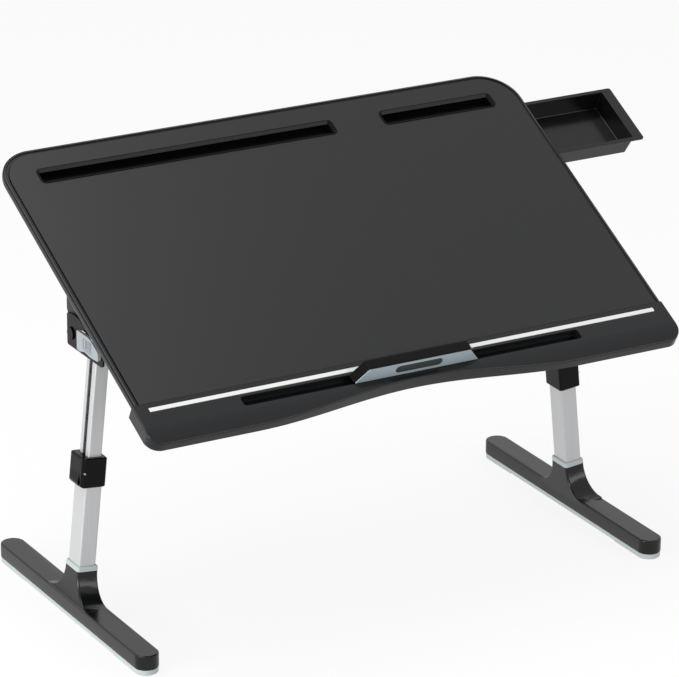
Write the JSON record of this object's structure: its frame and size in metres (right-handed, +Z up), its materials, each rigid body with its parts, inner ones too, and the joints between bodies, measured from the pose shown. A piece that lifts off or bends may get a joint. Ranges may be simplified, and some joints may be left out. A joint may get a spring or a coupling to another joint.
{
  "type": "laptop stand with drawer",
  "caption": "Tilting laptop desk on folding telescopic legs, with a crowned palm rest, sliding device stop, tablet and phone slots and a side drawer.",
  "frame": {"origin": "on the floor, under the middle of the bounding box with the drawer pulled out as in the picture", "axes": "+X to the user's right, along the desktop's width; +Y away from the user; +Z up"},
  "size_m": [0.8426, 0.4166, 0.5105],
  "materials": {
    "desktop_laminate": "fine satin charcoal laminate over board",
    "edge_plastic": "satin to gloss charcoal moulding",
    "charcoal_plastic": "fine spark texture",
    "bracket_plastic": "fine spark texture",
    "black_plastic": "matte",
    "gloss_black_plastic": "satin gloss",
    "grey_plastic": "satin",
    "slate_plastic": "satin",
    "black_rubber": "matte",
    "pale_rubber": "matte",
    "white_silicone": "matte",
    "aluminium_tube": "satin anodised",
    "steel": "bright"
  },
  "bodies": {
    "desktop": {"desktop_panel": "desktop_laminate", "edge_trim": "edge_plastic", "tablet_slot_tray": "black_plastic", "phone_slot_tray": "black_plastic", "wrist_rest": "edge_plastic", "anti_slip_strip": "white_silicone", "drawer_front_runner": "black_plastic", "drawer_rear_runner": "black_plastic", "bracket_left": "bracket_plastic", "bracket_screw_front_left": "steel", "bracket_screw_rear_left": "steel", "tilt_ratchet_left": "steel", "bracket_right": "bracket_plastic", "bracket_screw_front_right": "steel", "bracket_screw_rear_right": "steel", "tilt_ratchet_right": "steel"},
    "drawer": {"drawer_tray": "charcoal_plastic"},
    "device_stop": {"stopper_body": "black_plastic", "stopper_face_plate": "slate_plastic", "stopper_pad": "black_rubber"},
    "head_left": {"leg_head_left": "black_plastic", "tilt_pin_left": "steel", "head_boss_left": "black_plastic", "fold_pin_left": "steel"},
    "button_left": {"tilt_button_left": "grey_plastic"},
    "upper_leg_left": {"fold_knuckle_left": "black_plastic", "upper_tube_left": "aluminium_tube", "index_strip_left": "bracket_plastic", "tube_slider_left": "black_plastic"},
    "lower_leg_left": {"lower_tube_left": "aluminium_tube", "clamp_collar_left": "gloss_black_plastic", "latch_hinge_pin_left": "steel", "foot_ring_left": "pale_rubber", "foot_base_left": "charcoal_plastic", "foot_sole_left": "pale_rubber"},
    "latch_left": {"latch_lever_left": "gloss_black_plastic", "latch_pin_left": "steel"},
    "head_right": {"leg_head_right": "black_plastic", "tilt_pin_right": "steel", "head_boss_right": "black_plastic", "fold_pin_right": "steel"},
    "button_right": {"tilt_button_right": "grey_plastic"},
    "upper_leg_right": {"fold_knuckle_right": "black_plastic", "upper_tube_right": "aluminium_tube", "index_strip_right": "bracket_plastic", "tube_slider_right": "black_plastic"},
    "lower_leg_right": {"lower_tube_right": "aluminium_tube", "clamp_collar_right": "gloss_black_plastic", "latch_hinge_pin_right": "steel", "foot_ring_right": "pale_rubber", "foot_base_right": "charcoal_plastic", "foot_sole_right": "pale_rubber"},
    "latch_right": {"latch_lever_right": "gloss_black_plastic", "latch_pin_right": "steel"}
  },
  "joints": [
    {"name": "drawer_slide", "type": "slide", "parent": "desktop", "child": "drawer", "axis": [1, 0, 0], "range_m": [-0.134, 0.03]},
    {"name": "stop_slide", "type": "slide", "parent": "desktop", "child": "device_stop", "axis": [1, 0, 0], "range_m": [-0.14, 0.14]},
    {"name": "tilt_left", "type": "hinge", "parent": "desktop", "child": "head_left", "pos_m": [-0.37288, -0.00115, 0.36728], "axis": [1, 0, 0], "range_deg": [-9, 27]},
    {"name": "button_left", "type": "slide", "parent": "head_left", "child": "button_left", "axis": [1, 0, 0], "range_m": [0, 0.0024], "stiffness_N_per_m": 500, "springref_m": -0.004},
    {"name": "fold_left", "type": "hinge", "parent": "head_left", "child": "upper_leg_left", "pos_m": [-0.37288, 0.01085, 0.33333], "axis": [0, -1, 0], "range_deg": [0, 60]},
    {"name": "height_left", "type": "slide", "parent": "upper_leg_left", "child": "lower_leg_left", "axis": [0.0997, 0, 0.995], "range_m": [0, 0.1124]},
    {"name": "latch_left", "type": "hinge", "parent": "lower_leg_left", "child": "latch_left", "pos_m": [-0.40222, 0.00885, 0.18381], "axis": [0, -1, 0], "range_deg": [0, 8], "stiffness_Nm_per_rad": 0.3, "springref_deg": -11.46},
    {"name": "tilt_right", "type": "hinge", "parent": "desktop", "child": "head_right", "pos_m": [0.2434, -0.00115, 0.36728], "axis": [1, 0, 0], "range_deg": [-9, 27]},
    {"name": "button_right", "type": "slide", "parent": "head_right", "child": "button_right", "axis": [-1, 0, 0], "range_m": [0, 0.0024], "stiffness_N_per_m": 500, "springref_m": -0.004},
    {"name": "fold_right", "type": "hinge", "parent": "head_right", "child": "upper_leg_right", "pos_m": [0.2434, 0.01085, 0.33333], "axis": [0, 1, 0], "range_deg": [0, 60]},
    {"name": "height_right", "type": "slide", "parent": "upper_leg_right", "child": "lower_leg_right", "axis": [-0.0997, 0, 0.995], "range_m": [0, 0.1124]},
    {"name": "latch_right", "type": "hinge", "parent": "lower_leg_right", "child": "latch_right", "pos_m": [0.27275, 0.00885, 0.18381], "axis": [0, 1, 0], "range_deg": [0, 8], "stiffness_Nm_per_rad": 0.3, "springref_deg": -11.46}
  ],
  "couplings": [
    {"joint": "tilt_right", "follows": "tilt_left", "ratio": 1}
  ]
}
